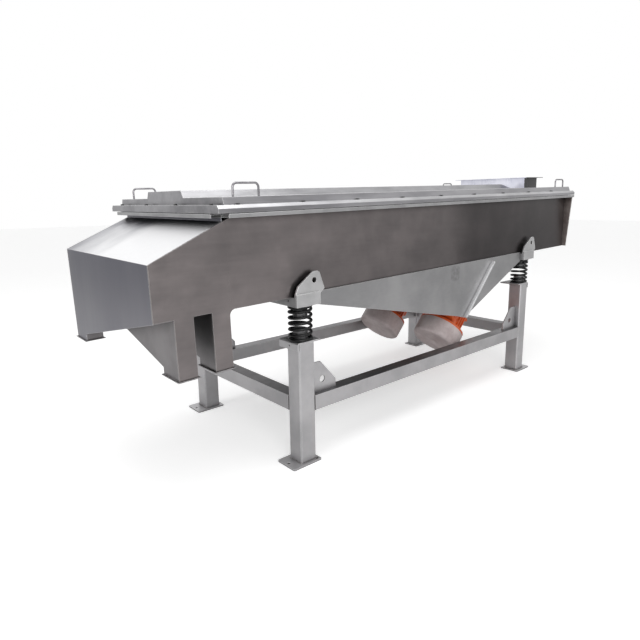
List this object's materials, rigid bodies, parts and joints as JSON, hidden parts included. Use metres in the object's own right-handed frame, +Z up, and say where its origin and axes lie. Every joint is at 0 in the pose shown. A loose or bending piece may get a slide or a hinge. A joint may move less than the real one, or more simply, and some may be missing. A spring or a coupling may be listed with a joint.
{
  "type": "vibrating sieve",
  "caption": "Linear-motion vibrating sieve with two screening decks, sealed cover, square feed inlet, side discharge chutes and twin vibration motors on a spring-mounted frame.",
  "frame": {"origin": "on the floor, midway between the four posts", "axes": "+X towards the feed end, -Y to the side with the two front outlets, +Z up"},
  "size_m": [3.6053, 1.2, 1.5175],
  "materials": {
    "box_steel": "brushed stainless sheet, satin",
    "cover_steel": "stainless sheet, satin, brighter",
    "frame_steel": "blasted stainless tube and plate",
    "spring_black": "black coated spring steel",
    "motor_paint": "orange-red enamel",
    "motor_cover_paint": "pale grey painted pressed steel",
    "gasket_rubber": "soft black rubber",
    "bright_steel": "machined steel",
    "weight_iron": "flame-cut plate",
    "stator_copper": "laminations and windings",
    "screen_mesh": "woven wire cloth"
  },
  "bodies": {
    "base_frame": {"discharge_end_beam": "frame_steel", "discharge_front_post": "frame_steel", "discharge_front_foot_plate": "frame_steel", "discharge_front_spring_seat": "frame_steel", "discharge_front_spring": "spring_black", "discharge_rear_post": "frame_steel", "discharge_rear_foot_plate": "frame_steel", "discharge_rear_spring_seat": "frame_steel", "discharge_rear_spring": "spring_black", "feed_end_beam": "frame_steel", "feed_front_post": "frame_steel", "feed_front_foot_plate": "frame_steel", "feed_front_spring_seat": "frame_steel", "feed_front_spring": "spring_black", "feed_rear_post": "frame_steel", "feed_rear_foot_plate": "frame_steel", "feed_rear_spring_seat": "frame_steel", "feed_rear_spring": "spring_black", "front_side_rail": "frame_steel", "rear_side_rail": "frame_steel", "tie_lugs": "frame_steel"},
    "screening_box": {"discharge_cross_beam": "frame_steel", "discharge_front_corner_bracket": "frame_steel", "discharge_rear_corner_bracket": "frame_steel", "feed_cross_beam": "frame_steel", "feed_front_corner_bracket": "frame_steel", "feed_rear_corner_bracket": "frame_steel", "front_side_plate": "box_steel", "front_motor_frame_plate": "frame_steel", "front_motor_housing": "motor_paint", "rear_side_plate": "box_steel", "rear_motor_frame_plate": "frame_steel", "rear_motor_housing": "motor_paint", "bottom_pan": "box_steel", "feed_end_plate": "box_steel", "discharge_hood": "box_steel", "oversize_chute": "box_steel", "middle_chute": "box_steel", "fines_chute": "box_steel", "discharge_trays": "box_steel", "top_rim": "box_steel", "rim_gasket": "gasket_rubber", "cover_shell": "cover_steel", "feed_inlet": "cover_steel", "cover_handles": "box_steel", "cover_bolts": "bright_steel", "upper_deck_frame": "box_steel", "lower_deck_frame": "box_steel", "upper_deck_mesh": "screen_mesh", "lower_deck_mesh": "screen_mesh", "deck_rails": "box_steel", "motor_mounting_plate": "frame_steel", "frame_cross_tubes": "frame_steel", "motor_end_covers": "motor_cover_paint", "motor_stators": "stator_copper", "motor_bearings": "bright_steel"},
    "front_rotor": {"front_rotor_shaft": "bright_steel", "front_eccentric_weights": "weight_iron"},
    "rear_rotor": {"rear_rotor_shaft": "bright_steel", "rear_eccentric_weights": "weight_iron"}
  },
  "joints": [
    {"name": "throw_slide", "type": "slide", "parent": "base_frame", "child": "screening_box", "axis": [-0.7343, 0, 0.6788], "range_m": [-0.003, 0.003], "stiffness_N_per_m": 570000, "springref_m": 0.01721, "deforming": ["discharge_front_spring", "discharge_rear_spring", "feed_front_spring", "feed_rear_spring"]},
    {"name": "front_rotor_spin", "type": "hinge", "parent": "screening_box", "child": "front_rotor", "pos_m": [0.5296, -0.274, 0.544], "axis": [0.6788, 0, 0.7343], "continuous": true},
    {"name": "rear_rotor_spin", "type": "hinge", "parent": "screening_box", "child": "rear_rotor", "pos_m": [0.5296, 0.274, 0.544], "axis": [0.6788, 0, 0.7343], "continuous": true}
  ],
  "couplings": [
    {"joint": "rear_rotor_spin", "follows": "front_rotor_spin", "ratio": -1}
  ]
}
